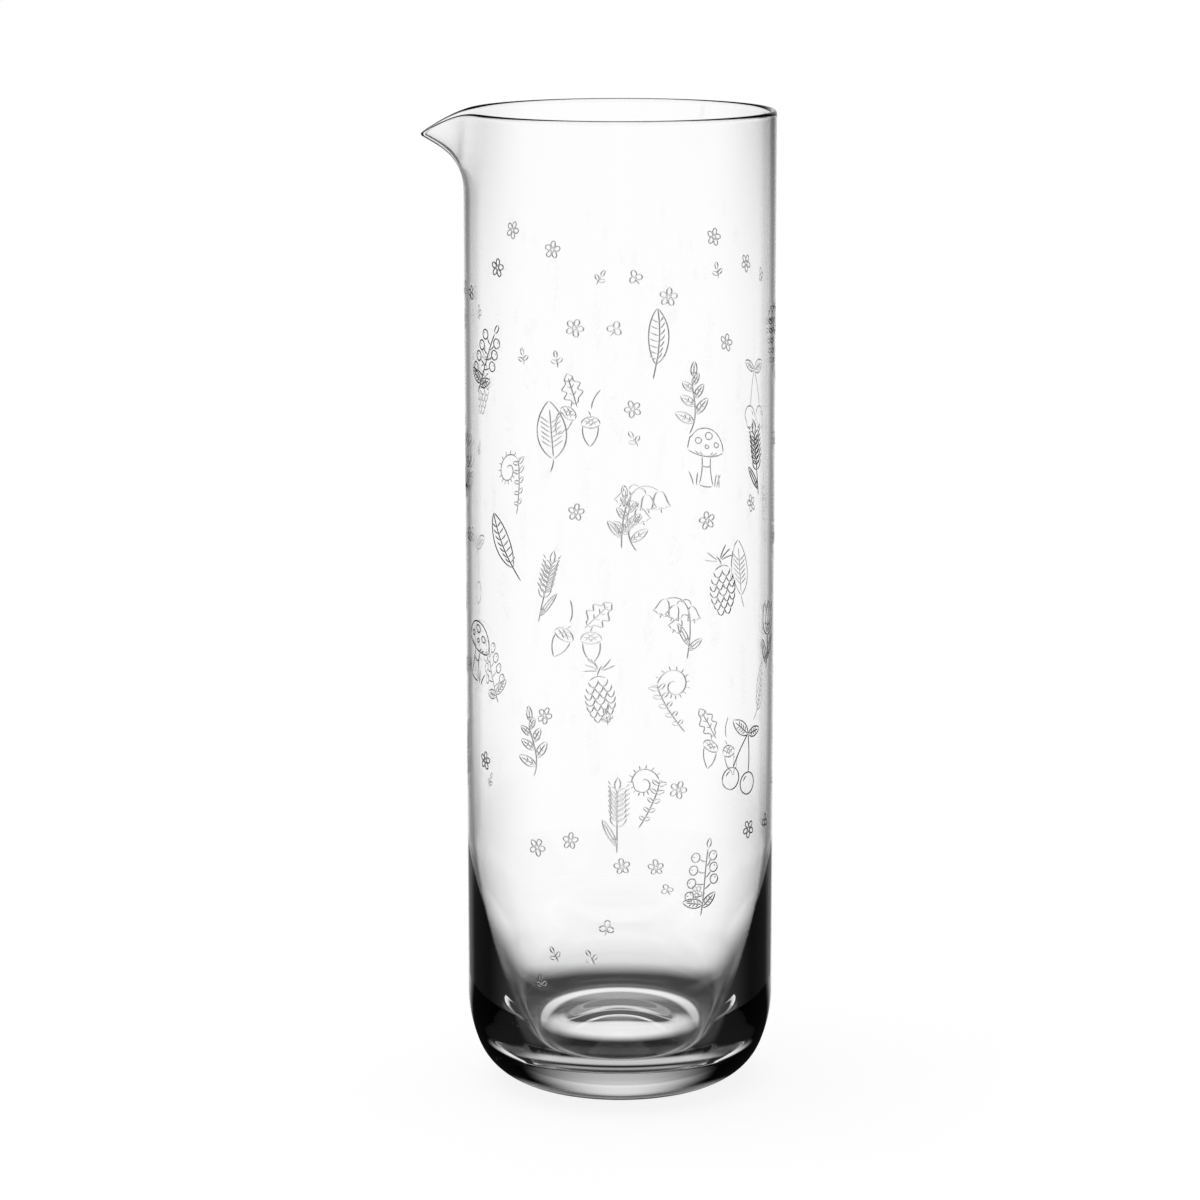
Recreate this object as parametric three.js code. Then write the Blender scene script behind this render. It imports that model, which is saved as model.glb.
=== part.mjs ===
import * as THREE from 'three';

// A water jug blown in one piece of clear glass: a straight round body without a handle, a thick
// rounded base, a fire-polished rim and a pouring lip pulled out of the rim.
// Millimetres, +Z up. The origin is the centre of the flat underside, and the lip points to -X.

// Body
const HEIGHT = 275; // underside to rim
const BODY_RADIUS = 43.2; // outside of the straight wall
const WALL = 1.9; // thickness of the straight wall
const RIM_ROUNDING = 1.6; // height over which the edge of the wall is rounded

// Outside of the base: a large arc leaves the wall, and a small one rolls it onto the underside
const SHOULDER_HEIGHT = 26.1; // where the straight wall ends
const SHOULDER_RADIUS = 40.2;
const HEEL_RADIUS = 17.7;

// Inside of the base: a flat floor, a tight corner and a wall that flares up to the straight one
const FLOOR_THICKNESS = 12.5;
const FLOOR_INSET = 14; // from the outside of the body to where the floor and the flare would meet
const CORNER_INWARDS = 2.15; // rounding from that meeting point along the floor
const CORNER_UPWARDS = 3.45; // and along the flare
const FLARE_ANGLE = THREE.MathUtils.degToRad(18.6); // lean of the flare at its foot
const FLARE_TOP = 137.8; // where the inside becomes straight
const FLARE_TOP_PULL = 0.2; // share of the flare's height over which it bends into the straight wall
const FLARE_FOOT_PULL = 0.335; // share over which it holds its lean at the foot

// Pouring lip: a narrow nose of the wall is drawn outwards and down, more and more towards its edge
const LIP_HEIGHT = 24.2; // how far below the rim the wall begins to lean out
const LIP_REACH = 12.9; // how far its middle is drawn outwards at the tip
const LIP_DROP = 6.3; // how far it is drawn down there
const LIP_DROOP = 1.26; // higher for a lip that drops more at the tip and less behind it
const LIP_BEND = 2.8; // higher for a lip that leaves the wall later
const LIP_CURL = 1.25; // higher for a lip that runs straighter to its edge
const LIP_HALF_ANGLE = THREE.MathUtils.degToRad(45); // round the body, on each side of the tip
const LIP_NOSE_ANGLE = THREE.MathUtils.degToRad(4.5); // rounding of the tip, seen from above
const LIP_SHARPNESS = 6.6; // higher for a narrower nose
const LIP_THINNING = 0.33; // share of the wall's thickness that is lost at the tip

// Facets
const ROUND_STEPS = 72; // around the body
const SIDE_ANGLE = THREE.MathUtils.degToRad(125); // the step, of the even ones, that goes to the side
const HEEL_STEPS = 6;
const SHOULDER_STEPS = 8;
const LIP_STEPS = 14; // up the wall within the height of the lip
const RIM_STEPS = 6;
const FLARE_STEPS = 12;
const CORNER_STEPS = 5;

const innerRadius = BODY_RADIUS - WALL;
const middleRadius = BODY_RADIUS - WALL / 2;
const rimCentreHeight = HEIGHT - RIM_ROUNDING;
const lipStart = HEIGHT - LIP_HEIGHT;
const lipCrowding = (SIDE_ANGLE - Math.PI / 2) / Math.sin(SIDE_ANGLE);

function arc(centreX, centreY, radiusX, radiusY, startAngle, endAngle, steps) {
  const curve = new THREE.EllipseCurve(centreX, centreY, radiusX, radiusY, startAngle, endAngle);
  return curve.getPoints(steps);
}

function straight(startX, startY, endX, endY, steps) {
  const line = new THREE.LineCurve(new THREE.Vector2(startX, startY), new THREE.Vector2(endX, endY));
  return line.getPoints(steps);
}

// Outside, from the centre of the underside up to the straight wall. The heel arc touches the
// underside and, inside the shoulder arc, the shoulder.
function outerBase() {
  const shoulderX = BODY_RADIUS - SHOULDER_RADIUS;
  const centreDistance = SHOULDER_RADIUS - HEEL_RADIUS;
  const centreRise = SHOULDER_HEIGHT - HEEL_RADIUS;
  const heelAngle = Math.acos(centreRise / centreDistance);
  const heelX = shoulderX + centreDistance * Math.sin(heelAngle);
  const meetingAngle = heelAngle - Math.PI / 2;
  const heel = arc(heelX, HEEL_RADIUS, HEEL_RADIUS, HEEL_RADIUS, -Math.PI / 2, meetingAngle, HEEL_STEPS);
  const shoulder = arc(
    shoulderX,
    SHOULDER_HEIGHT,
    SHOULDER_RADIUS,
    SHOULDER_RADIUS,
    meetingAngle,
    0,
    SHOULDER_STEPS,
  );
  return [new THREE.Vector2(0, 0), ...heel, ...shoulder.slice(1)];
}

// Inside, from the top of the flare down to the centre of the floor.
function innerBase() {
  const meeting = new THREE.Vector2(BODY_RADIUS - FLOOR_INSET, FLOOR_THICKNESS);
  const lean = new THREE.Vector2(Math.sin(FLARE_ANGLE), Math.cos(FLARE_ANGLE));
  const foot = meeting.clone().addScaledVector(lean, CORNER_UPWARDS);
  const flareHeight = FLARE_TOP - foot.y;
  const flare = new THREE.CubicBezierCurve(
    new THREE.Vector2(innerRadius, FLARE_TOP),
    new THREE.Vector2(innerRadius, FLARE_TOP - FLARE_TOP_PULL * flareHeight),
    foot.clone().addScaledVector(lean, FLARE_FOOT_PULL * flareHeight),
    foot,
  );
  const floorEdge = new THREE.Vector2(meeting.x - CORNER_INWARDS, FLOOR_THICKNESS);
  const corner = new THREE.QuadraticBezierCurve(foot, meeting, floorEdge);
  return [
    ...flare.getPoints(FLARE_STEPS),
    ...corner.getPoints(CORNER_STEPS).slice(1),
    new THREE.Vector2(0, FLOOR_THICKNESS),
  ];
}

// The whole wall in section: up the outside, over the rim and down the inside.
function section() {
  return [
    ...outerBase(),
    ...straight(BODY_RADIUS, lipStart, BODY_RADIUS, rimCentreHeight, LIP_STEPS),
    ...arc(middleRadius, rimCentreHeight, WALL / 2, RIM_ROUNDING, 0, Math.PI, RIM_STEPS).slice(1),
    ...straight(innerRadius, rimCentreHeight, innerRadius, lipStart, LIP_STEPS).slice(1),
    ...innerBase(),
  ];
}

// How strongly the lip is drawn at an angle from its tip and a height: 1 at the tip, 0 away from it.
function lipShare(angle, height) {
  const up = Math.max(height - lipStart, 0) / LIP_HEIGHT;
  const rounded = Math.hypot(angle, LIP_NOSE_ANGLE) - LIP_NOSE_ANGLE;
  const around = Math.max(1 - rounded / LIP_HALF_ANGLE, 0);
  return up ** LIP_BEND * (1 + LIP_CURL * (1 - up)) * around ** LIP_SHARPNESS;
}

// The middle of the wall's thickness there.
function wallMiddle(angle, height) {
  const share = lipShare(angle, height);
  const radius = middleRadius + LIP_REACH * share;
  const drop = LIP_DROP * share ** LIP_DROOP;
  return new THREE.Vector3(-radius * Math.cos(angle), radius * Math.sin(angle), height - drop);
}

// A point of the plain wall, laid at the same depth of the drawn wall. The rim's rounding stands on
// the edge of the drawn wall.
function onDrawnWall(angle, radius, height) {
  const seat = Math.min(height, rimCentreHeight);
  const step = 1e-3;
  const around = wallMiddle(angle + step, seat).sub(wallMiddle(angle - step, seat));
  const up = wallMiddle(angle, seat + step).sub(wallMiddle(angle, seat - step));
  const outwards = up.cross(around).normalize();
  const upwards = around.cross(outwards).normalize();
  const thickness = 1 - LIP_THINNING * lipShare(angle, seat);
  return wallMiddle(angle, seat)
    .addScaledVector(outwards, thickness * (radius - middleRadius))
    .addScaledVector(upwards, thickness * (height - seat));
}

// Gathers the steps round the body towards -X and draws the lip out there.
function shapeLip(geometry) {
  const position = geometry.getAttribute('position');
  for (let i = 0; i < position.count; i += 1) {
    const x = position.getX(i);
    const y = position.getY(i);
    const height = position.getZ(i);
    const radius = Math.hypot(x, y);
    const evenAngle = Math.atan2(y, -x);
    const angle = evenAngle - lipCrowding * Math.sin(evenAngle);
    if (height > lipStart) {
      const place = onDrawnWall(angle, radius, height);
      position.setXYZ(i, place.x, place.y, place.z);
    } else {
      position.setXYZ(i, -radius * Math.cos(angle), radius * Math.sin(angle), height);
    }
  }
}

function glassBody() {
  const geometry = new THREE.LatheGeometry(section(), ROUND_STEPS, -Math.PI / 2);
  geometry.rotateX(Math.PI / 2);
  shapeLip(geometry);
  geometry.computeVertexNormals();
  const material = new THREE.MeshStandardMaterial({
    color: 0xf3f6f6,
    roughness: 0.03,
    metalness: 0,
    transparent: true,
    opacity: 0.35,
  });
  const mesh = new THREE.Mesh(geometry, material);
  mesh.name = 'glass_body';
  return mesh;
}

const jug = new THREE.Group();
jug.add(glassBody());

export default jug;
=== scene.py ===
import math

import bmesh
import bpy
import numpy as np
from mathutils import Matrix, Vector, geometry


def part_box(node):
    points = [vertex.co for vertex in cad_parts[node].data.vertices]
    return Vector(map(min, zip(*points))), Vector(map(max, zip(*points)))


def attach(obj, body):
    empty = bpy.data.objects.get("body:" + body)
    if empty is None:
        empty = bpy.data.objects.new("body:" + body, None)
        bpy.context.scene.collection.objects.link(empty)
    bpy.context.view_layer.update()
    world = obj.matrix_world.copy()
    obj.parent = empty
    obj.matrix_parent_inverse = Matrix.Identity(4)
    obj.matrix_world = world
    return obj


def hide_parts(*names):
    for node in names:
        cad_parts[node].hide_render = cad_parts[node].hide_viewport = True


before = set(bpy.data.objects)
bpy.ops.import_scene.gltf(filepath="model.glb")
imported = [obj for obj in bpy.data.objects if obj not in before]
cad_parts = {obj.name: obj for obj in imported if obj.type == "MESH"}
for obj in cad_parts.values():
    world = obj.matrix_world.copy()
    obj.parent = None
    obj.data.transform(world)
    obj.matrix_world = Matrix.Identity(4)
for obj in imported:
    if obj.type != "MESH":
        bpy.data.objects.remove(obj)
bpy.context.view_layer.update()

MM = 0.001

# Sizes of the glass in millimetres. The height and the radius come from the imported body. The outside,
# the wall and the lip repeat the part's own numbers, but for the lip's reach, which is a little less.
# The rim and the inside of the base are rounder.
body_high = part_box("glass_body")[1]
HEIGHT = body_high.z / MM
BODY_RADIUS = body_high.y / MM
WALL = 1.9
RIM_ROUNDING = 1.2
SHOULDER_HEIGHT = 26.1
SHOULDER_RADIUS = 40.2
HEEL_RADIUS = 17.7
FLOOR_THICKNESS = 11.0
FLOOR_RISE = 0.92
FLOOR_INSET = 12.5
CORNER_INWARDS = 6.77
CORNER_UPWARDS = 14.1
FLARE_ANGLE = math.radians(16.2)
FLARE_TOP = 70.0
FLARE_TOP_PULL = 0.38
FLARE_FOOT_PULL = 0.24
LIP_HEIGHT = 24.2
LIP_REACH = 12.75
LIP_DROP = 6.3
LIP_DROOP = 1.26
LIP_BEND = 2.8
LIP_CURL = 1.25
LIP_HALF_ANGLE = math.radians(45)
LIP_NOSE_ANGLE = math.radians(4.5)
LIP_SHARPNESS = 6.6
LIP_THINNING = 0.33
INNER_RADIUS = BODY_RADIUS - WALL
MIDDLE_RADIUS = BODY_RADIUS - WALL / 2
LIP_START = HEIGHT - LIP_HEIGHT
RIM_CENTRE = HEIGHT - RIM_ROUNDING

# A shallow dish under the base, inside the ring that the jug stands on
DISH_RADIUS = 20.5
DISH_DEPTH = 3.55
DISH_FULLNESS = 1.85
EDGE_RING = 0.25

# Steps along the curves of the section
DISH_STEPS = 24
HEEL_STEPS = 20
SHOULDER_STEPS = 24
BELOW_CUT_STEPS = 3
ABOVE_CUT_STEPS = 8
LIP_STEPS = 36
RIM_STEPS = 16
INSIDE_STEPS = 30
FLARE_STEPS = 48
CORNER_STEPS = 28
FLOOR_STEPS = 16

# The grid of the wall. The design is cut into its rows, on the straight part of the body.
COLUMNS = 256
CUT_ROWS = 100
CUT_BOTTOM = 32.0
CUT_TOP = 244.0
CELL_WIDTH = 2 * math.pi * BODY_RADIUS / COLUMNS
CELL_HEIGHT = (CUT_TOP - CUT_BOTTOM) / CUT_ROWS
LIP_CROWDING = 0.6

# The cut lines: V-shaped grooves that taper at their ends
CUT_WIDTH = 0.42
CUT_DEPTH = 0.14
CUT_STEP = 0.5
CUT_TAPER = 0.8
TAPER_SHARE = 0.4
LEAST_CUT = 0.08
LEAST_STEPS_OPEN = 3
LEAST_STEPS_CLOSED = 8
CLOSED_GAP = 0.01
CLEAR_OF_CUT = 0.3
BLOCK_MARGIN = 0.7
MERGE = 1e-4

# Steps along each curve of the drawn design, which the motifs count when they set leaves on a stem
STROKE_STEPS = 24
OVAL_STEPS = 32


def smooth_share(value):
    """0 below 0 and 1 above 1, with an even bend between."""
    share = np.clip(value, 0, 1)
    return share * share * (3 - 2 * share)


def arc(centre_x, centre_z, radius, start, end, steps):
    angle = np.linspace(start, end, steps + 1)
    return np.stack([centre_x + radius * np.cos(angle), centre_z + radius * np.sin(angle)], axis=1)


def straight(start, end, steps):
    share = np.linspace(0, 1, steps + 1)[:, None]
    return np.array(start) + share * (np.array(end) - np.array(start))


def curve(*points, steps=STROKE_STEPS):
    """A Bezier curve from the first point to the last one."""
    share = np.linspace(0, 1, steps + 1)[:, None]
    level = [np.array(point, float) + 0 * share for point in points]
    while len(level) > 1:
        level = [a + (b - a) * share for a, b in zip(level, level[1:])]
    return level[0]


# The wall in section, as radius and height

def dish_section():
    """The underside's dish from its centre to the standing ring."""
    radius = DISH_RADIUS * np.sin(np.linspace(0, math.pi / 2, DISH_STEPS + 1))
    rise = DISH_DEPTH * (1 - (radius / DISH_RADIUS) ** 2).clip(0) ** DISH_FULLNESS
    return np.stack([radius, rise], axis=1)


def outer_base_section():
    """The dish, the standing ring, the heel and the shoulder, up to the straight wall."""
    shoulder_x = BODY_RADIUS - SHOULDER_RADIUS
    centre_distance = SHOULDER_RADIUS - HEEL_RADIUS
    heel_angle = math.acos((SHOULDER_HEIGHT - HEEL_RADIUS) / centre_distance)
    heel_x = shoulder_x + centre_distance * math.sin(heel_angle)
    meeting = heel_angle - math.pi / 2
    ring = [(DISH_RADIUS + EDGE_RING, 0), (heel_x - EDGE_RING, 0)]
    return np.vstack([
        dish_section(),
        ring,
        arc(heel_x, HEEL_RADIUS, HEEL_RADIUS, -math.pi / 2, meeting, HEEL_STEPS),
        arc(shoulder_x, SHOULDER_HEIGHT, SHOULDER_RADIUS, meeting, 0, SHOULDER_STEPS)[1:],
    ])


def rim_section():
    """Up the outside from the cut rows, over the rim and down the inside to the flare."""
    half_round = arc(0, 0, 1, 0, math.pi, RIM_STEPS)
    over = half_round * (WALL / 2, RIM_ROUNDING) + (MIDDLE_RADIUS, RIM_CENTRE)
    return np.vstack([
        straight((BODY_RADIUS, CUT_TOP), (BODY_RADIUS, LIP_START), ABOVE_CUT_STEPS)[1:],
        straight((BODY_RADIUS, LIP_START), (BODY_RADIUS, RIM_CENTRE), LIP_STEPS)[1:],
        over[1:],
        straight((INNER_RADIUS, RIM_CENTRE), (INNER_RADIUS, LIP_START), LIP_STEPS)[1:],
        straight((INNER_RADIUS, LIP_START), (INNER_RADIUS, CUT_TOP), ABOVE_CUT_STEPS)[1:],
        straight((INNER_RADIUS, CUT_TOP), (INNER_RADIUS, FLARE_TOP), INSIDE_STEPS)[1:],
    ])


def inner_base_section():
    """Down the flare, round the corner and over the slightly domed floor to its centre."""
    meeting = np.array((BODY_RADIUS - FLOOR_INSET, FLOOR_THICKNESS))
    lean = np.array((math.sin(FLARE_ANGLE), math.cos(FLARE_ANGLE)))
    foot = meeting + CORNER_UPWARDS * lean
    flare_height = FLARE_TOP - foot[1]
    flare = curve(
        (INNER_RADIUS, FLARE_TOP),
        (INNER_RADIUS, FLARE_TOP - FLARE_TOP_PULL * flare_height),
        foot + FLARE_FOOT_PULL * flare_height * lean,
        foot,
        steps=FLARE_STEPS,
    )
    floor_edge = meeting - (CORNER_INWARDS, 0)
    corner = curve(foot, meeting, floor_edge, steps=CORNER_STEPS)
    share = np.linspace(1, 0, FLOOR_STEPS + 1)[1:]
    rise = FLOOR_RISE * (1 - share ** 2) ** 2
    floor = np.stack([floor_edge[0] * share, FLOOR_THICKNESS + rise], axis=1)
    return np.vstack([flare[1:], corner[1:], floor])


# The lip, drawn out of the wall and the rim

def lip_share(angle, height):
    """How strongly the lip is drawn at an angle from its tip: 1 at the tip's edge, 0 away from it."""
    up = (height - LIP_START).clip(0) / LIP_HEIGHT
    rounded = np.hypot(angle, LIP_NOSE_ANGLE) - LIP_NOSE_ANGLE
    around = (1 - rounded / LIP_HALF_ANGLE).clip(0)
    return up ** LIP_BEND * (1 + LIP_CURL * (1 - up)) * around ** LIP_SHARPNESS


def wall_middle(angle, height):
    """The middle of the wall's thickness there."""
    share = lip_share(angle, height)
    radius = MIDDLE_RADIUS + LIP_REACH * share
    drop = LIP_DROP * share ** LIP_DROOP
    return np.stack([-radius * np.cos(angle), -radius * np.sin(angle), height - drop], axis=2)


def unit(vector):
    return vector / np.linalg.norm(vector, axis=2, keepdims=True)


def rings_of_points(section):
    """A ring of points for each point of the section, with the lip drawn out to -X. The drawn wall
    keeps its thickness but for the tip, and the rim's rounding stands on its edge."""
    radius = section[:, 0:1]
    height = section[:, 1:2]
    even = np.arange(COLUMNS) * 2 * math.pi / COLUMNS - math.pi
    crowding = LIP_CROWDING * smooth_share((height - CUT_TOP) / (RIM_CENTRE - CUT_TOP))
    angle = even - crowding * np.sin(even)
    plain = np.stack([-radius * np.cos(angle), -radius * np.sin(angle), height + 0 * angle], axis=2)
    seat = np.minimum(height, RIM_CENTRE) + 0 * angle
    step = 1e-3
    around = wall_middle(angle + step, seat) - wall_middle(angle - step, seat)
    up = wall_middle(angle, seat + step) - wall_middle(angle, seat - step)
    outwards = unit(np.cross(around, up))
    upwards = unit(np.cross(outwards, around))
    thickness = 1 - LIP_THINNING * lip_share(angle, seat)
    across = (thickness * (radius - MIDDLE_RADIUS))[:, :, None] * outwards
    above = (thickness * (height - seat))[:, :, None] * upwards
    drawn = wall_middle(angle, seat) + across + above
    return np.where((height > LIP_START)[:, :, None], drawn, plain)


# Strokes of the design, in millimetres on the unrolled wall: x to the right and y up

def oval(x, y, across, up, turn=0):
    angle = np.radians(np.linspace(0, 360, OVAL_STEPS + 1))
    shape = np.stack([across * np.cos(angle), up * np.sin(angle)], axis=1)
    return placed([shape], x, y, turn)[0]


def placed(strokes, x=0.0, y=0.0, turn=0.0, size=1.0, flip=False):
    """The strokes at another place, turned to the left by degrees."""
    c = math.cos(math.radians(turn)) * size
    s = math.sin(math.radians(turn)) * size
    side = -1 if flip else 1
    moved = []
    for line in strokes:
        across = c * line[:, 0] - s * line[:, 1]
        up = s * line[:, 0] + c * line[:, 1]
        moved.append(np.stack([x + side * across, y + up], axis=1))
    return moved


def both_sides(*strokes):
    return list(strokes) + placed(strokes, flip=True)


def leaf(length, width, veins=0):
    """A leaf that grows up from its stalk."""
    half = width / 2
    edge = curve((0, 0), (1.3 * half, 0.25 * length), (0.9 * half, 0.75 * length), (0, length))
    strokes = both_sides(edge)
    if veins:
        strokes.append(curve((0, 0.04 * length), (0, 0.86 * length)))
    for i in range(veins):
        y = length * (0.2 + 0.5 * i / veins)
        vein = curve((0.02 * half, y), (0.3 * half, y + 0.05 * length), (0.62 * half, y + 0.13 * length))
        strokes += both_sides(vein)
    return strokes


def lobed_leaf(length, width):
    share = np.linspace(0, 1, 2 * STROKE_STEPS + 1)
    lobes = 1 + 0.3 * np.cos(2 * math.pi * 3.5 * share)
    edge = np.stack([0.5 * width * np.sin(math.pi * share ** 0.8) * lobes, length * share], axis=1)
    strokes = both_sides(edge)
    strokes.append(curve((0, -0.12 * length), (0, 0.85 * length)))
    for y in (0.28, 0.5, 0.7):
        strokes += both_sides(curve((0, y * length), (0.25 * width, (y + 0.12) * length)))
    return strokes


def leaf_sprig():
    stem = curve((-2.6, -9.6), (2.4, -4), (-1.4, 3), (0.6, 5.6))
    strokes = [stem]
    for i in range(6):
        x, y = stem[4 + 3 * i]
        side = 1 if i % 2 else -1
        strokes += placed(leaf(6.4 - 0.5 * i, 3.0 - 0.2 * i, 2), x, y, -side * (54 - 3 * i))
    return strokes + placed(leaf(4.4, 2.2, 1), *stem[-1], -10)


def acorn():
    strokes = both_sides(curve((-2.6, 0.0), (-2.9, -4.0), (-1.0, -5.4), (0, -6.8)))
    strokes.append(curve((-3.2, 0.4), (-1.6, -1.1), (1.6, -1.1), (3.2, 0.4)))
    strokes.append(curve((-3.2, 0.4), (-3.0, 3.6), (3.0, 3.6), (3.2, 0.4)))
    strokes += both_sides(
        curve((-2.6, 1.6), (-0.8, 1.2), (0.6, -0.2)),
        curve((-1.4, 2.4), (0.6, 1.6), (1.8, 0.2)),
    )
    strokes.append(curve((0, 2.8), (0.2, 3.8), (1.0, 4.8)))
    return strokes


def acorn_twig():
    strokes = placed(acorn(), -4.6, -3.4, -14, 0.92) + placed(acorn(), 3.4, -2.4, 16, 0.92)
    strokes += placed(lobed_leaf(9.6, 5.2), 1.4, 1.6, -34)
    return strokes + [curve((-3.6, 1.2), (-2.6, 4.0), (-4.8, 7.6))]


def fir_cone():
    strokes = []
    rows = 7
    for row in range(rows):
        share = (row + 0.5) / rows
        half = 4.7 * math.sin(math.pi * (0.14 + 0.76 * share)) ** 0.8
        scales = 3 if row % 2 else 4
        if row in (0, rows - 1):
            scales = 2
        width = 2 * half / scales
        y = 5.4 - 12.4 * share
        for i in range(scales):
            left = i * width - half
            right = left + width
            low = y - 2.7
            scale = curve((left, y), (left + 0.1 * width, low), (right - 0.1 * width, low), (right, y))
            strokes.append(scale)
    strokes.append(curve((-2.6, 4.6), (0, 6.6), (2.6, 4.6)))
    strokes.append(curve((0, 5.6), (0.4, 7.2), (1.8, 8.6)))
    for turn in (34, 58, 82, -50, -76):
        strokes += placed([curve((0, 0.6), (0.4, 2.6), (0, 5.2))], 0.8, 7.0, turn)
    return strokes


def berry_branch():
    stem = curve((-4.4, -9.6), (-1.2, -3.4), (0.6, 3.0), (3.4, 8.4))
    strokes = [stem]
    for i in range(7):
        x, y = stem[7 + 2 * i]
        side = 1 if i % 2 else -1
        reach = 4.3 - 0.22 * i
        end_x = x + side * reach
        end_y = y + 1.5 + 0.15 * i
        strokes.append(curve((x, y), (x + 0.5 * side * reach, y + 0.4), (end_x - 1.1 * side, end_y - 0.5)))
        strokes.append(oval(end_x, end_y, 1.35, 1.35))
        strokes.append(curve((end_x + 0.2 * side, end_y + 0.2), (end_x + 0.8 * side, end_y + 0.5)))
    strokes += placed(leaf(6.6, 3.2, 3), *stem[4], 62)
    strokes += placed(leaf(6.0, 3.0, 3), *stem[3], -66)
    return strokes + placed(leaf(3.0, 1.6), *stem[-1], -30)


def toadstool():
    strokes = [curve((-6.6, 0.6), (-6.4, 9.4), (6.4, 9.4), (6.6, 0.6))]
    strokes.append(curve((-6.6, 0.6), (-3.4, -1.5), (3.4, -1.5), (6.6, 0.6)))
    for x in (-4.0, -2.4, 2.4, 4.0):
        strokes.append(curve((0.45 * x, -0.9), (0.8 * x, -0.3), (1.05 * x, 0.5)))
    strokes += both_sides(curve((-1.6, -1.0), (-1.1, -5.0), (-2.6, -9.4)))
    strokes.append(curve((-2.6, -9.4), (0, -10.2), (2.6, -9.4)))
    strokes.append(curve((-1.5, -3.0), (-2.6, -4.4), (2.6, -4.4), (1.5, -3.0)))
    for x, y, size in ((-2.8, 3.4, 1.1), (1.0, 5.0, 1.3), (3.8, 2.6, 0.9), (0.2, 1.8, 0.7)):
        strokes.append(oval(x, y, size, 0.8 * size))
    for x, lean in ((-4.6, -1.8), (-3.6, 0.6), (4.0, 1.6), (5.0, -0.4), (3.2, 0.8)):
        strokes.append(curve((x, -9.8), (x + 0.2 * lean, -7.6), (x + lean, -5.6)))
    return strokes


def fern_curl():
    angle = np.linspace(0.3 * math.pi, 2.9 * math.pi, 60)
    radius = 0.35 + 0.5 * angle
    centre = np.array((0.6, 3.6))
    coil = centre + np.stack([-radius * np.cos(angle), radius * np.sin(angle)], axis=1)
    end = coil[-1]
    stalk = curve(end, end + (0.4, -3.6), (2.4, -6.4), (0.2, -10.2))
    strokes = [coil, stalk]
    for i in range(20, len(coil), 3):
        step = coil[i] - coil[i - 1]
        step = step / np.hypot(*step)
        outwards = np.array((step[1], -step[0]))
        if np.dot(outwards, coil[i] - centre) < 0:
            outwards = -outwards
        tip = coil[i] + 1.35 * outwards + 0.5 * step
        strokes.append(curve(coil[i], coil[i] + 0.5 * outwards + 0.6 * step, tip))
    for i in range(3, 20, 4):
        x, y = stalk[i]
        strokes += placed(leaf(3.2 - 0.06 * i, 1.3), x, y, -64)
        strokes += placed(leaf(2.8 - 0.05 * i, 1.2), x, y, 58)
    return strokes


def broad_leaf():
    strokes = placed(leaf(16.0, 10.6, 6), 0, -6.4)
    strokes.append(curve((0, -6.2), (0.2, -8.2), (1.4, -10.0)))
    return strokes


def cup_flower():
    strokes = both_sides(
        curve((0, -0.4), (-5.0, 0.2), (-4.8, 5.6), (-3.6, 8.8)),
        curve((-3.6, 8.8), (-2.4, 7.4), (-1.9, 5.8)),
    )
    strokes += placed(leaf(9.0, 5.2, 1), 0, 0.2)
    strokes.append(curve((0, -0.4), (0.8, -4.6), (-0.6, -10.2)))
    for turn, base in ((30, -8.6), (-34, -7.4)):
        strokes += placed(leaf(8.6, 2.8, 1), -0.2, base, turn)
    return strokes


def feather():
    shaft = curve((-4.6, -10.0), (-2.0, -5.0), (1.6, 1.0), (2.4, 9.6))
    strokes = [shaft]
    strokes.append(curve(shaft[6], (-4.4, -2.0), (-2.4, 6.6), (2.4, 9.6)))
    strokes.append(curve(shaft[6], (2.6, -4.4), (6.2, 3.4), (2.4, 9.6)))
    for i in range(8, 22, 2):
        x, y = shaft[i]
        reach = 2.6 - 0.012 * (i - 14) ** 2
        strokes.append(curve((x, y), (x - 0.6 * reach, y + 0.7), (x - reach, y + 1.7)))
        strokes.append(curve((x, y), (x + 0.6 * reach, y + 0.6), (x + 0.9 * reach, y + 1.7)))
    return strokes


def cherries():
    strokes = [oval(-4.0, -5.4, 3.3, 3.1), oval(3.6, -6.4, 3.3, 3.1)]
    for x, y in ((-4.0, -5.4), (3.6, -6.4)):
        strokes.append(curve((x - 2.1, y + 0.2), (x - 1.8, y + 1.6), (x - 0.6, y + 2.0)))
    strokes.append(curve((-3.8, -2.6), (-2.6, 2.4), (1.0, 7.4)))
    strokes.append(curve((3.4, -3.6), (3.2, 1.6), (1.0, 7.4)))
    strokes.append(curve((0.2, 7.2), (1.0, 8.0), (2.0, 7.6)))
    return strokes + placed(leaf(8.4, 4.2, 4), 1.0, 7.2, 66) + placed(leaf(6.2, 3.2, 3), 1.2, 7.2, -72)


def bell_flower():
    bell = both_sides(
        curve((0, 0), (-2.2, -0.6), (-1.4, -3.2), (-2.9, -4.8)),
        curve((-2.9, -4.8), (-1.9, -4.2), (-1.0, -5.2)),
    )
    bell += [curve((-1.0, -5.2), (0, -4.2), (1.0, -5.2)), curve((0, -4.8), (0, -6.2))]
    stem = curve((-3.2, -10.0), (-4.4, 2.0), (-2.0, 10.6), (5.6, 6.4))
    strokes = [stem] + placed(bell, *stem[-1], 12)
    for i, side, turn in ((15, 1, 14), (10, 1, 24), (17, -1, -22)):
        x, y = stem[i]
        end = (x + 3.0 * side, y - 1.0)
        strokes.append(curve((x, y), (x + 2.2 * side, y + 1.6), end))
        strokes += placed(bell, *end, turn, 0.86)
    return strokes + placed(leaf(7.4, 2.4, 1), *stem[3], -38) + placed(leaf(6.2, 2.2, 1), *stem[2], 44)


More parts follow.
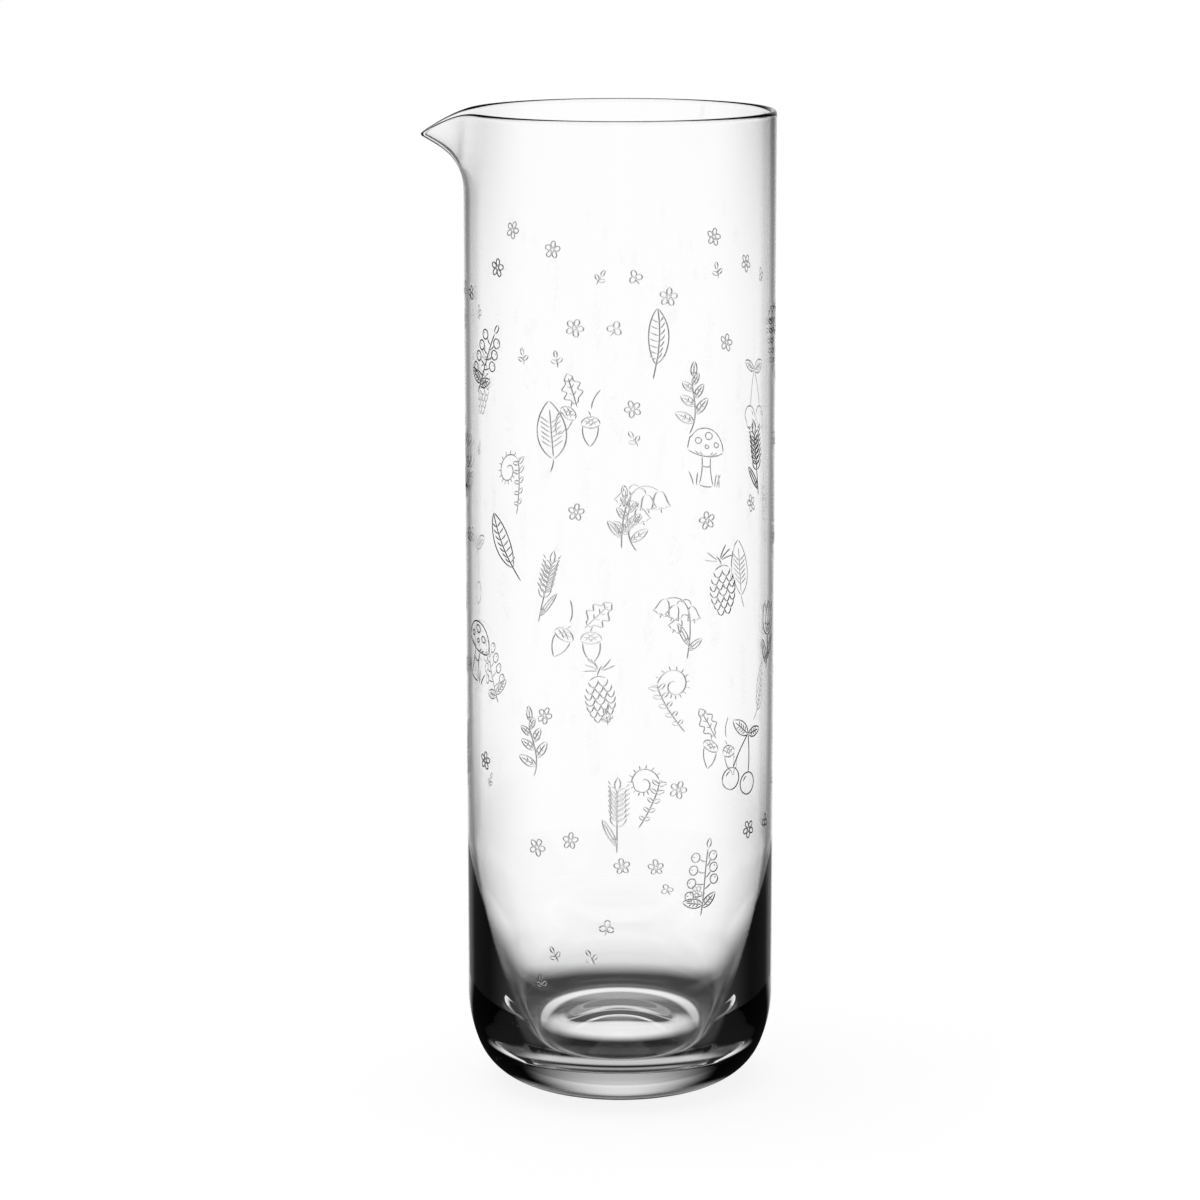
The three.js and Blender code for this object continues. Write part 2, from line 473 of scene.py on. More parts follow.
def grain_ear():
    stem = curve((-3.4, -10.2), (-1.6, -3.0), (0.2, 2.0), (1.4, 6.8))
    strokes = [stem]
    for i in range(7):
        x, y = stem[9 + 2 * i]
        for side in (-1, 1):
            strokes += placed(leaf(3.6, 1.9), x, y, -side * 38 - 8)
            strokes += placed([curve((0, 3.6), (0.1 * side, 5.4))], x, y, -side * 34 - 8)
    strokes += placed(leaf(3.6, 1.9), *stem[-1], -10)
    strokes.append(curve(stem[-1] + (0.6, 3.5), stem[-1] + (1.0, 3.6)))
    return strokes + placed(leaf(8.8, 2.0, 1), *stem[2], -44)


def small_blossom():
    strokes = [oval(0, 0, 0.55, 0.55)]
    for i in range(5):
        strokes += placed([oval(0, 1.55, 0.72, 0.98)], turn=72 * i)
    return strokes


def small_sprig():
    strokes = [curve((0, -2.5), (0.3, -0.8), (0, 0.4))]
    for x, y, turn, length in ((0.1, -1.2, 58, 2.2), (0.1, -1.0, -58, 2.2), (0, 0.3, 0, 2.3)):
        strokes += placed(leaf(length, 1.2), x, y, turn)
    return strokes


def small_trefoil():
    strokes = [curve((0, -0.2), (0.2, -1.4), (-0.4, -2.5))]
    for turn in (0, 112, -112):
        strokes += placed([oval(0, 1.1, 0.8, 1.0)], turn=turn)
    return strokes


LARGE_MOTIFS = (
    leaf_sprig, toadstool, cherries, fern_curl, acorn_twig, feather,
    cup_flower, fir_cone, bell_flower, broad_leaf, berry_branch, grain_ear,
)
SMALL_MOTIFS = (small_blossom, small_sprig, small_blossom, small_trefoil)


# Where the motifs go: the large ones climb round the body like leaves round a stalk, each a golden
# angle on from the last, and the small ones take up the room between them.
LARGE_COUNT = 40
LARGE_BLOCK = (22, 11)
LARGE_ROWS = (7, 80)
LARGE_TURNS = (-12, 7, 16, -5, 0)
LARGE_MOTIF_STEP = 5
SMALL_COUNT = 46
SMALL_TRIES = 600
SMALL_BLOCK = (7, 3)
SMALL_TURNS = (10, -24, 30, -8)
SMALL_STEP = 0.7548776662
GOLDEN_STEP = 0.3819660113
FIRST_SHARE = 0.03
SMALL_FIRST_SHARE = 0.41
BARE_ROWS = 20
BARE_SIDE = 0.6


def on_bare_side(column, row, block):
    """Low on the sides towards the lip and away from it, which the thick base would show many times."""
    middle = (column + block[0] / 2) * 2 * math.pi / COLUMNS
    return row < BARE_ROWS and abs(math.cos(middle)) > BARE_SIDE


def room_left(taken, column, row, block):
    """Whether the block and a cell round it are still plain wall."""
    if on_bare_side(column, row, block):
        return False
    columns = np.arange(column - 1, column + block[0] + 1) % COLUMNS
    return not taken[max(row - 1, 0):row + block[1] + 1, columns].any()


def take_room(taken, column, row, block):
    columns = np.arange(column, column + block[0]) % COLUMNS
    taken[row:row + block[1], columns] = True


def lay_out(taken):
    """The motif, its turn, its side and the corner and size of its block, for each place."""
    places = []
    for i in range(LARGE_COUNT):
        column = int(round((FIRST_SHARE + i * GOLDEN_STEP) % 1 * COLUMNS)) % COLUMNS
        row = int(round(LARGE_ROWS[0] + (LARGE_ROWS[1] - LARGE_ROWS[0]) * i / (LARGE_COUNT - 1)))
        if not room_left(taken, column, row, LARGE_BLOCK):
            continue
        take_room(taken, column, row, LARGE_BLOCK)
        motif = LARGE_MOTIFS[i * LARGE_MOTIF_STEP % len(LARGE_MOTIFS)]
        turn = LARGE_TURNS[i % len(LARGE_TURNS)]
        places.append((motif, turn, i % 2 == 1, column, row, LARGE_BLOCK))
    tries = 0
    small = 0
    last_row = CUT_ROWS - SMALL_BLOCK[1] - 1
    while small < SMALL_COUNT and tries < SMALL_TRIES:
        tries += 1
        column = int((SMALL_FIRST_SHARE + tries * GOLDEN_STEP) % 1 * COLUMNS)
        row = 1 + int(tries * SMALL_STEP % 1 * last_row)
        if not room_left(taken, column, row, SMALL_BLOCK):
            continue
        take_room(taken, column, row, SMALL_BLOCK)
        motif = SMALL_MOTIFS[small % len(SMALL_MOTIFS)]
        turn = SMALL_TURNS[small // 2 % len(SMALL_TURNS)]
        places.append((motif, turn, False, column, row, SMALL_BLOCK))
        small += 1
    return places


# Cutting the strokes into a block of the wall

def fitted(strokes, block):
    """The strokes in the middle of the block, made smaller where they would reach its edges."""
    points = np.vstack(strokes)
    low = points.min(axis=0)
    high = points.max(axis=0)
    room = np.array(block) * (CELL_WIDTH, CELL_HEIGHT) - 2 * BLOCK_MARGIN
    size = min(1, *(room / (high - low)))
    return [(line - (low + high) / 2) * size for line in strokes]


def even_steps(line):
    """The line in steps of about one length, half its width at each, and whether it runs back to its
    start."""
    lengths = np.hypot(*np.diff(line, axis=0).T)
    along = np.concatenate([[0], np.cumsum(lengths)])
    closed = np.hypot(*(line[0] - line[-1])) < CLOSED_GAP
    least = LEAST_STEPS_CLOSED if closed else LEAST_STEPS_OPEN
    count = max(int(round(along[-1] / CUT_STEP)), least)
    stops = np.linspace(0, along[-1], count + 1)
    points = np.stack([np.interp(stops, along, line[:, n]) for n in (0, 1)], axis=1)
    half = np.full(count + 1, CUT_WIDTH / 2)
    if not closed:
        taper = min(CUT_TAPER, TAPER_SHARE * along[-1])
        half = half * np.clip(np.minimum(stops, along[-1] - stops) / taper, 0, 1)
    return points, half, closed


def cut_depth_at(points, lines):
    """How deep the cut is at each point: deepest in the middle of a stroke, nothing at its edges."""
    depth = np.zeros(len(points))
    for line, half, _ in lines:
        start = line[:-1]
        step = np.diff(line, axis=0)
        away = points[:, None, :] - start[None]
        share = ((away * step).sum(axis=2) / (step ** 2).sum(axis=1)).clip(0, 1)
        gap = np.linalg.norm(away - share[:, :, None] * step, axis=2)
        half_here = half[:-1] + np.diff(half) * share
        depth = np.maximum(depth, (half_here - gap).max(axis=1))
    depth = depth * 2 * CUT_DEPTH / CUT_WIDTH
    return np.where(depth < LEAST_CUT * CUT_DEPTH, 0, depth)


def distance_to(points, lines):
    nearest = np.full(len(points), np.inf)
    for line, _, _ in lines:
        gap = np.linalg.norm(points[:, None, :] - line[None], axis=2)
        nearest = np.minimum(nearest, gap.min(axis=1))
    return nearest


def cut_block(strokes, block):
    """One block of the wall with the strokes cut into it: its points on the unrolled wall, the grid
    place of those on the grid, how deep each lies, and the triangles."""
    columns, rows = block
    size = np.array((columns * CELL_WIDTH, rows * CELL_HEIGHT))
    lines = [even_steps(line + size / 2) for line in strokes]
    grid = np.array([(i, j) for j in range(rows + 1) for i in range(columns + 1)])
    on_edge = (grid[:, 0] % columns == 0) | (grid[:, 1] % rows == 0)
    grid_points = grid * (CELL_WIDTH, CELL_HEIGHT)
    clear = distance_to(grid_points, lines) > CUT_WIDTH / 2 + CLEAR_OF_CUT
    kept = on_edge | clear
    grid = grid[kept]
    points = [tuple(p) for p in grid_points[kept]]
    at_place = {tuple(place): n for n, place in enumerate(grid)}
    edges = []
    for i in range(columns):
        edges.append((at_place[i, 0], at_place[i + 1, 0]))
        edges.append((at_place[i, rows], at_place[i + 1, rows]))
    for j in range(rows):
        edges.append((at_place[0, j], at_place[0, j + 1]))
        edges.append((at_place[columns, j], at_place[columns, j + 1]))
    for line, half, closed in lines:
        ahead = np.gradient(line, axis=0)
        if closed:
            ahead[0] = line[1] - line[-2]
            ahead[-1] = ahead[0]
        ahead = ahead / np.linalg.norm(ahead, axis=1)[:, None]
        across = np.stack([-ahead[:, 1], ahead[:, 0]], axis=1) * half[:, None]
        for side in (-1, 0, 1):
            first = len(points)
            points += [tuple(p) for p in line + side * across]
            edges += [(n, n + 1) for n in range(first, first + len(line) - 1)]
    found, _, triangles, sources, _, _ = geometry.delaunay_2d_cdt(points, edges, [], 0, MERGE)
    found = np.array([tuple(p) for p in found])
    places = np.full((len(found), 2), -1)
    for n, source in enumerate(sources):
        on_grid = [s for s in source if s < len(grid)]
        if on_grid:
            places[n] = grid[on_grid[0]]
    depth = np.where(places[:, 0] >= 0, 0, cut_depth_at(found, lines))
    return found, places, depth, np.array(triangles)


# The mesh of the glass

CUT_SLOT = 1  # place of the cuts' finish among the materials of the piece


def glass_mesh():
    """The points, the smooth faces and the faces of the cuts, as one closed skin."""
    taken = np.zeros((CUT_ROWS, COLUMNS), bool)
    layout = lay_out(taken)
    above_base = straight((BODY_RADIUS, SHOULDER_HEIGHT), (BODY_RADIUS, CUT_BOTTOM), BELOW_CUT_STEPS)
    below = np.vstack([outer_base_section(), above_base[1:-1]])
    cut_wall = straight((BODY_RADIUS, CUT_BOTTOM), (BODY_RADIUS, CUT_TOP), CUT_ROWS)
    section = np.vstack([below, cut_wall, rim_section(), inner_base_section()])
    rings = rings_of_points(section[1:-1])
    points = np.vstack([[(0, 0, section[0, 1])], rings.reshape(-1, 3), [(0, 0, section[-1, 1])]])
    ring_count = len(rings)
    cut_ring = len(below) - 1

    def at(ring, column):
        return 1 + ring * COLUMNS + column % COLUMNS

    column = np.arange(COLUMNS)
    faces = []
    for ring in range(ring_count - 1):
        free = column
        if cut_ring <= ring < cut_ring + CUT_ROWS:
            free = column[~taken[ring - cut_ring]]
        corners = (at(ring, free), at(ring, free + 1), at(ring + 1, free + 1), at(ring + 1, free))
        faces += np.stack(corners, axis=1).tolist()
    last = len(points) - 1
    faces += [(0, at(0, k + 1), at(0, k)) for k in column]
    faces += [(last, at(ring_count - 1, k), at(ring_count - 1, k + 1)) for k in column]

    cut_faces = []
    new_points = [points]
    next_point = len(points)
    made = {}
    for motif, turn, flip, first_column, first_row, block in layout:
        key = (motif.__name__, turn, flip, block)
        if key not in made:
            strokes = placed(placed(motif(), turn=turn), flip=flip)
            made[key] = cut_block(fitted(strokes, block), block)
        flat, places, depth, triangles = made[key]
        on_grid = places[:, 0] >= 0
        index = np.zeros(len(flat), int)
        index[on_grid] = at(cut_ring + first_row + places[on_grid, 1], first_column + places[on_grid, 0])
        loose = np.flatnonzero(~on_grid)
        index[loose] = next_point + np.arange(len(loose))
        next_point += len(loose)
        angle = (first_column + flat[loose, 0] / CELL_WIDTH) * 2 * math.pi / COLUMNS
        radius = BODY_RADIUS - depth[loose]
        height = CUT_BOTTOM + first_row * CELL_HEIGHT + flat[loose, 1]
        new_points.append(np.stack([radius * np.cos(angle), radius * np.sin(angle), height], axis=1))
        in_cut = depth[triangles].max(axis=1) > 0
        faces += index[triangles[~in_cut]].tolist()
        cut_faces += index[triangles[in_cut]].tolist()
    points = np.vstack(new_points) * MM
    return points, faces, cut_faces


def without_loose_points(points, faces):
    used = np.zeros(len(points), bool)
    for face in faces:
        used[list(face)] = True
    number = np.cumsum(used) - 1
    return points[used], [tuple(number[list(face)]) for face in faces]


def make_glass(name):
    points, smooth_faces, cut_faces = glass_mesh()
    points, faces = without_loose_points(points, smooth_faces + cut_faces)
    mesh = bpy.data.meshes.new(name)
    mesh.from_pydata(points.tolist(), [], faces)
    mesh.polygons.foreach_set("use_smooth", np.ones(len(faces), bool))
    finish = np.zeros(len(faces), np.int32)
    finish[len(smooth_faces):] = CUT_SLOT
    mesh.polygons.foreach_set("material_index", finish)
    mesh.update()
    piece = bpy.data.objects.new(name, mesh)
    bpy.context.scene.collection.objects.link(piece)
    keep_cuts_crisp(mesh, finish)
    return piece


def keep_cuts_crisp(mesh, finish):
    """The glass shades smooth up to the cuts, and each side of a cut is flat."""
    count = len(mesh.loops)
    corner_point = np.zeros(count, np.int32)
    mesh.loops.foreach_get("vertex_index", corner_point)
    corners = np.zeros(len(mesh.polygons), np.int32)
    mesh.polygons.foreach_get("loop_total", corners)
    flat = np.zeros(len(mesh.polygons) * 3)
    mesh.polygons.foreach_get("normal", flat)
    flat = flat.reshape(-1, 3)
    area = np.zeros(len(mesh.polygons))
    mesh.polygons.foreach_get("area", area)
    face_of = np.repeat(np.arange(len(mesh.polygons)), corners)
    is_cut = finish[face_of] == CUT_SLOT
    weight = (flat * area[:, None])[face_of]
    total = np.zeros((len(mesh.vertices), 3))
    np.add.at(total, corner_point[~is_cut], weight[~is_cut])
    length = np.linalg.norm(total, axis=1)
    total = total / np.where(length > 0, length, 1)[:, None]
    normal = np.where(is_cut[:, None], flat[face_of], total[corner_point])
    mesh.normals_split_custom_set(normal.tolist())


# Materials

def new_tree(name):
    material = bpy.data.materials.new(name)
    material.use_nodes = True
    material.node_tree.nodes.clear()
    return material, material.node_tree


def node(tree, kind, **values):
    made = tree.nodes.new("ShaderNode" + kind)
    for key, value in values.items():
        setattr(made, key, value)
    return made


def set_or_link(tree, socket, value):
    if isinstance(value, (int, float)):
        socket.default_value = value
    else:
        tree.links.new(value, socket)


def math_node(tree, operation, *values):
    made = node(tree, "Math", operation=operation)
    for socket, value in zip(made.inputs, values):
        set_or_link(tree, socket, value)
    return made.outputs[0]


def ramp_node(tree, value, low, high, start=0.0, end=1.0):
    """Runs smoothly from start at low to end at high."""
    made = node(tree, "MapRange", interpolation_type="SMOOTHSTEP")
    tree.links.new(value, made.inputs["Value"])
    for key, limit in (("From Min", low), ("From Max", high), ("To Min", start), ("To Max", end)):
        set_or_link(tree, made.inputs[key], limit)
    return made.outputs["Result"]


def times(tree, first, *others):
    """The product of the values."""
    for value in others:
        first = math_node(tree, "MULTIPLY", first, value)
    return first


def length_node(tree, first, second):
    """The length of the line that goes so far one way and so far across."""
    squares = math_node(tree, "MULTIPLY_ADD", first, first, math_node(tree, "MULTIPLY", second, second))
    return math_node(tree, "SQRT", squares)


BAND_CORE = 0.3  # share of a band's half width that has its full light


def band_node(tree, value, middle, half_width):
    """1 in the middle of a soft-edged band and 0 outside it."""
    gap = math_node(tree, "ABSOLUTE", math_node(tree, "SUBTRACT", value, middle))
    return ramp_node(tree, gap, BAND_CORE * half_width, half_width, 1, 0)


def glow_only(tree, light):
    """Ends a material that shines with this light and does nothing else."""
    glow = node(tree, "Emission")
    tree.links.new(light, glow.inputs["Color"])
    result = node(tree, "OutputMaterial")
    tree.links.new(glow.outputs["Emission"], result.inputs["Surface"])


NOISE_DETAIL = 3.0
NOISE_RANGE = (0.3, 0.7)


def uneven_finish_group():
    """A soft unevenness over a surface: a value between two limits, and a height for bumps."""
    tree = bpy.data.node_groups.new("uneven_finish", "ShaderNodeTree")
    for name, value in (("Scale", 20.0), ("Low", 0.0), ("High", 1.0)):
        socket = tree.interface.new_socket(name, in_out="INPUT", socket_type="NodeSocketFloat")
        socket.default_value = value
    for name in ("Value", "Height"):
        tree.interface.new_socket(name, in_out="OUTPUT", socket_type="NodeSocketFloat")
    given = tree.nodes.new("NodeGroupInput")
    put_out = tree.nodes.new("NodeGroupOutput")
    place = node(tree, "TexCoord")
    noise = node(tree, "TexNoise")
    noise.inputs["Detail"].default_value = NOISE_DETAIL
    tree.links.new(place.outputs["Object"], noise.inputs["Vector"])
    tree.links.new(given.outputs["Scale"], noise.inputs["Scale"])
    limits = node(tree, "MapRange")
    limits.inputs["From Min"].default_value = NOISE_RANGE[0]
    limits.inputs["From Max"].default_value = NOISE_RANGE[1]
    tree.links.new(noise.outputs["Fac"], limits.inputs["Value"])
    tree.links.new(given.outputs["Low"], limits.inputs["To Min"])
    tree.links.new(given.outputs["High"], limits.inputs["To Max"])
    tree.links.new(limits.outputs["Result"], put_out.inputs["Value"])
    tree.links.new(noise.outputs["Fac"], put_out.inputs["Height"])
    return tree


GLASS_IOR = 1.52


def glass_finish(name, uneven, colour, scale, low, high, bump):
    """Clear glass whose roughness wanders between low and high, with a faint ripple."""
    material, tree = new_tree(name)
    surface = node(tree, "BsdfPrincipled")
    surface.inputs["Base Color"].default_value = colour
    surface.inputs["IOR"].default_value = GLASS_IOR
    surface.inputs["Transmission Weight"].default_value = 1.0
    variation = node(tree, "Group", node_tree=uneven)
    variation.inputs["Scale"].default_value = scale
    variation.inputs["Low"].default_value = low
    variation.inputs["High"].default_value = high
    tree.links.new(variation.outputs["Value"], surface.inputs["Roughness"])
    ripple = node(tree, "Bump")
    ripple.inputs["Strength"].default_value = bump
    ripple.inputs["Distance"].default_value = MM
    tree.links.new(variation.outputs["Height"], ripple.inputs["Height"])
    tree.links.new(ripple.outputs["Normal"], surface.inputs["Normal"])
    result = node(tree, "OutputMaterial")
    tree.links.new(surface.outputs["BSDF"], result.inputs["Surface"])
    return material


# Stage: a pale table, soft light, and a light tent and a glowing disc of painted shade and light that only
# the glass sees

CAMERA_DISTANCE = 1.187
CAMERA_HEIGHT = 0.3644
CAMERA_PITCH = math.radians(10.81)
SENSOR_WIDTH = 36
FRAME_PIXELS = 1200
LENS_PIXELS = 4306
AXIS_PIXEL = 620
CAMERA_LENS = LENS_PIXELS / FRAME_PIXELS * SENSOR_WIDTH
CAMERA_SHIFT = (FRAME_PIXELS / 2 - AXIS_PIXEL) / FRAME_PIXELS
CAMERA_REACH = 100
TENT_RADIUS = 30.0
TABLE_SIZE = 30.0
TABLE_DROP = 0.0002
TABLE_SHADES = (0.2, 0.22)
TABLE_UNEVENNESS = 6.0
TABLE_SEEN = 0.87
SHADED_RADIUS = 0.125
SKY_LIGHT = 0.25
SKY_SEEN = 1.0
SUN_STRENGTH = 1.4
SUN_SPREAD = math.radians(70)
SUN_TILT = (math.radians(-6), math.radians(-8), 0)
SUN_HEIGHT = 1.5
WHITE = (1, 1, 1, 1)
DEGREES = 180 / math.pi


def add_camera():
    data = bpy.data.cameras.new("camera")
    data.sensor_width = SENSOR_WIDTH
    data.lens = CAMERA_LENS
    data.shift_x = CAMERA_SHIFT
    data.clip_end = CAMERA_REACH
    camera = bpy.data.objects.new("camera", data)
    camera.location = (0, -CAMERA_DISTANCE, CAMERA_HEIGHT)
    camera.rotation_euler = (math.pi / 2 - CAMERA_PITCH, 0, 0)
    bpy.context.scene.collection.objects.link(camera)
    bpy.context.scene.camera = camera
    return camera


# The light of the tent. The pairs are stretches, in degrees, over which it changes: round the jug from
# straight behind it, or up from level where the name says so.
LOW_CLOTH_EDGE = (14.5, 20.5)
LOW_CLOTH_GREY = 0.3
CLOTH_EDGE = (9.9, 18.2)
CLOTH_GREY = 0.25
CLOTH_END = (24, 38)
UP_TO_CLOTH = (-17, -13.5)
LOW_SIDE = (60, 120)
LOW_SIDE_DARK = 0.05
SIDE = (60, 110)
SIDE_PALE = 0.75
FRONT_PALE = 0.95
UP_TO_SIDE = (-15, -12)
SKYLINE_EDGE = (0, 25)
UP_TO_SKYLINE = (-7.5, -1.3)
UP_OVER_SKYLINE = (-3.5, 2)
PANEL_EDGE = (2, 36)
PANEL_LIGHT = 0.8
UP_THE_PANEL = (9, 28)
PANEL_TOP = 0.14
UP_TO_ROOF = (56, 60)
ROOF_TURN = (40, 80)
ROOF_BEHIND = 0.85
ROOF_FRONT = 0.3


def tent_finish():
    """White cloth low behind the glass that greys out to the sides, a pale front, a dark skyline at the
    sides, and above it a panel behind the glass and a roof."""
    material, tree = new_tree("tent_cloth")
    place = node(tree, "TexCoord")
    direction = node(tree, "VectorMath", operation="NORMALIZE")
    tree.links.new(place.outputs["Object"], direction.inputs[0])
    split = node(tree, "SeparateXYZ")
    tree.links.new(direction.outputs["Vector"], split.inputs[0])
    round_angle = math_node(tree, "ARCTAN2", split.outputs["X"], split.outputs["Y"])
    aside = math_node(tree, "ABSOLUTE", math_node(tree, "MULTIPLY", round_angle, DEGREES))
    up = math_node(tree, "MULTIPLY", math_node(tree, "ARCSINE", split.outputs["Z"]), DEGREES)
    low_cloth = ramp_node(tree, aside, *LOW_CLOTH_EDGE, 1, LOW_CLOTH_GREY)
    high_cloth = ramp_node(tree, aside, *CLOTH_EDGE, 1, CLOTH_GREY)
    cloth = ramp_node(tree, up, *UP_TO_CLOTH, low_cloth, high_cloth)
    low_side = ramp_node(tree, aside, *LOW_SIDE, LOW_SIDE_DARK, FRONT_PALE)
    high_side = ramp_node(tree, aside, *SIDE, SIDE_PALE, FRONT_PALE)
    around = ramp_node(tree, up, *UP_TO_SIDE, low_side, high_side)
    below = ramp_node(tree, aside, *CLOTH_END, cloth, around)
    skyline_behind = ramp_node(tree, aside, *SKYLINE_EDGE, 1, 0)
    skyline_front = ramp_node(tree, aside, *SIDE, 0, FRONT_PALE)
    skyline = math_node(tree, "ADD", skyline_behind, skyline_front)
    towards_skyline = ramp_node(tree, up, *UP_TO_SKYLINE, below, skyline)
    panel = times(
        tree,
        ramp_node(tree, aside, *PANEL_EDGE, PANEL_LIGHT, 0),
        ramp_node(tree, up, *UP_THE_PANEL, 1, PANEL_TOP),
    )
    roof = ramp_node(tree, aside, *ROOF_TURN, ROOF_BEHIND, ROOF_FRONT)
    above = ramp_node(tree, up, *UP_TO_ROOF, panel, roof)
    glow_only(tree, ramp_node(tree, up, *UP_OVER_SKYLINE, towards_skyline, above))
    return material


def add_tent(camera):
    """The tent turns with the camera, so that the glass is lit from behind in every view."""
    mesh = bpy.data.meshes.new("light_tent")
    shape = bmesh.new()
    bmesh.ops.create_uvsphere(shape, u_segments=64, v_segments=32, radius=TENT_RADIUS)
    shape.to_mesh(mesh)
    shape.free()
    mesh.materials.append(tent_finish())
    tent = bpy.data.objects.new("light_tent", mesh)
    bpy.context.scene.collection.objects.link(tent)
    tent.location = (0, 0, HEIGHT * MM / 2)
    bpy.context.view_layer.update()
    tent.parent = camera
    tent.matrix_parent_inverse = camera.matrix_world.inverted()
    tent.visible_camera = False
    tent.visible_diffuse = False
    tent.visible_shadow = False


# Arcs of painted light on the table ahead of the base, where the base would gather light: radius, half
# width, level, and the stretch to the side over which they fade, in millimetres
PAINTED_LIGHT_ARCS = (
    (24.3, 3.0, 0.35, 14, 24),
    (32.0, 4.0, 0.6, 24, 34),
    (40.0, 3.0, 0.45, 20, 32),
    (49.0, 2.5, 0.9, 14, 46),
    (59.0, 2.5, 0.5, 20, 32),
)
ARCS_END_BACK = (-12, 12)

# The other painted light and shade on the table. The pairs named OUT, ASIDE and BACK are stretches over
# which it changes, in millimetres out from the axis of the jug or of the ring, to the side, and back from
# the axis.
# Level of the painted shadow of the jug, where no painted light falls
SHADE = 0.01
OPEN_TABLE_OUT = (49, 68)
OPEN_TABLE_LIGHT = 0.75
FAR_TABLE_OUT = (62, 94)
FAR_TABLE_LIGHT = 0.25
OPEN_TABLE_TURN = (30, 56)  # degrees round from straight behind
PATCH_BACK = 2.4
PATCH_HALF_WIDTH = 27.0
PATCH_HALF_DEPTH = 8.2
PATCH_EDGE = (0.55, 1.15)  # shares of its half width and depth
RING_BACK = 2.5
RING_RADIUS = 25.0
RING_HALF_WIDTH = 3.3
RING_BRIGHTENS_BACK = (2, 24)
RING_LIGHT = (0.55, 0.95)  # before and behind that stretch
RING_STARTS_BACK = (-3, 3)
INSIDE_RING_OUT = (23.5, 26.5)
INSIDE_RING_LIGHT = 0.28
INSIDE_RING_BACK = (16, 21)
SIDE_ARC_RADIUS = 56.5
SIDE_ARC_HALF_WIDTH = 4.0
SIDE_ARC_ASIDE = (38, 50)
SIDE_ARC_LIGHT = 0.8
SIDE_ARC_BACK = (-16, -6)
FRONT_CORNER_ASIDE = (32, 50)
FRONT_CORNER_LIGHT = 0.6
FRONT_CORNER_OUT = (60, 72)
FRONT_CORNER_BACK = (-44, -34)


def shaded_table_finish():
    """A glowing table as the thick base shows it: the jug's shadow painted dark round it, painted white
    from some way behind it, and painted light where the base would gather it into a patch, a ring and
    arcs."""
    material, tree = new_tree("painted_shade_and_light_table")
    place = node(tree, "TexCoord")
    in_mm = node(tree, "VectorMath", operation="SCALE")
    in_mm.inputs["Scale"].default_value = 1 / MM
    tree.links.new(place.outputs["Object"], in_mm.inputs[0])
    split = node(tree, "SeparateXYZ")
    tree.links.new(in_mm.outputs["Vector"], split.inputs[0])
    aside = math_node(tree, "ABSOLUTE", split.outputs["X"])
    back = split.outputs["Y"]
    from_axis = length_node(tree, aside, back)
    turned = math_node(tree, "MULTIPLY", math_node(tree, "ARCTAN2", aside, back), DEGREES)
    # All that follows paints light and shade into the disc's glow. None of it comes from the lamps.
    ahead = ramp_node(tree, back, *ARCS_END_BACK, 1, 0)
    outwards = math_node(
        tree,
        "ADD",
        ramp_node(tree, from_axis, *OPEN_TABLE_OUT, 0, OPEN_TABLE_LIGHT),
        ramp_node(tree, from_axis, *FAR_TABLE_OUT, 0, FAR_TABLE_LIGHT),
    )
    painted_open_table = times(tree, outwards, ramp_node(tree, turned, *OPEN_TABLE_TURN, 1, 0))
    patch_back = math_node(tree, "SUBTRACT", back, PATCH_BACK)
    from_patch = length_node(
        tree,
        math_node(tree, "DIVIDE", aside, PATCH_HALF_WIDTH),
        math_node(tree, "DIVIDE", patch_back, PATCH_HALF_DEPTH),
    )
    painted_patch = ramp_node(tree, from_patch, *PATCH_EDGE, 1, 0)
    from_ring = length_node(tree, aside, math_node(tree, "SUBTRACT", back, RING_BACK))
    ring = times(
        tree,
        band_node(tree, from_ring, RING_RADIUS, RING_HALF_WIDTH),
        ramp_node(tree, back, *RING_BRIGHTENS_BACK, *RING_LIGHT),
        ramp_node(tree, back, *RING_STARTS_BACK),
    )
    painted_inside_ring = times(
        tree,
        ramp_node(tree, from_ring, *INSIDE_RING_OUT, INSIDE_RING_LIGHT, 0),
        ramp_node(tree, back, *INSIDE_RING_BACK),
    )
    painted_side_arcs = times(
        tree,
        band_node(tree, from_axis, SIDE_ARC_RADIUS, SIDE_ARC_HALF_WIDTH),
        ramp_node(tree, aside, *SIDE_ARC_ASIDE, 0, SIDE_ARC_LIGHT),
        ramp_node(tree, back, *SIDE_ARC_BACK, 1, 0),
    )
    painted_front_corners = times(
        tree,
        ramp_node(tree, aside, *FRONT_CORNER_ASIDE, 0, FRONT_CORNER_LIGHT),
        ramp_node(tree, from_axis, *FRONT_CORNER_OUT),
        ramp_node(tree, back, *FRONT_CORNER_BACK, 1, 0),
    )
    # Painted shade everywhere, with the painted light of each part laid over it
    light = SHADE
    for part in (painted_open_table, painted_patch, ring, painted_inside_ring, painted_side_arcs, painted_front_corners):
        light = math_node(tree, "MAXIMUM", part, light)
    for radius, half_width, level, fade_start, fade_end in PAINTED_LIGHT_ARCS:
        reach = ramp_node(tree, aside, fade_start, fade_end, level, 0)
        painted_arc_ahead = times(tree, band_node(tree, from_axis, radius, half_width), reach, ahead)
        light = math_node(tree, "MAXIMUM", painted_arc_ahead, light)
    glow_only(tree, light)
    return material


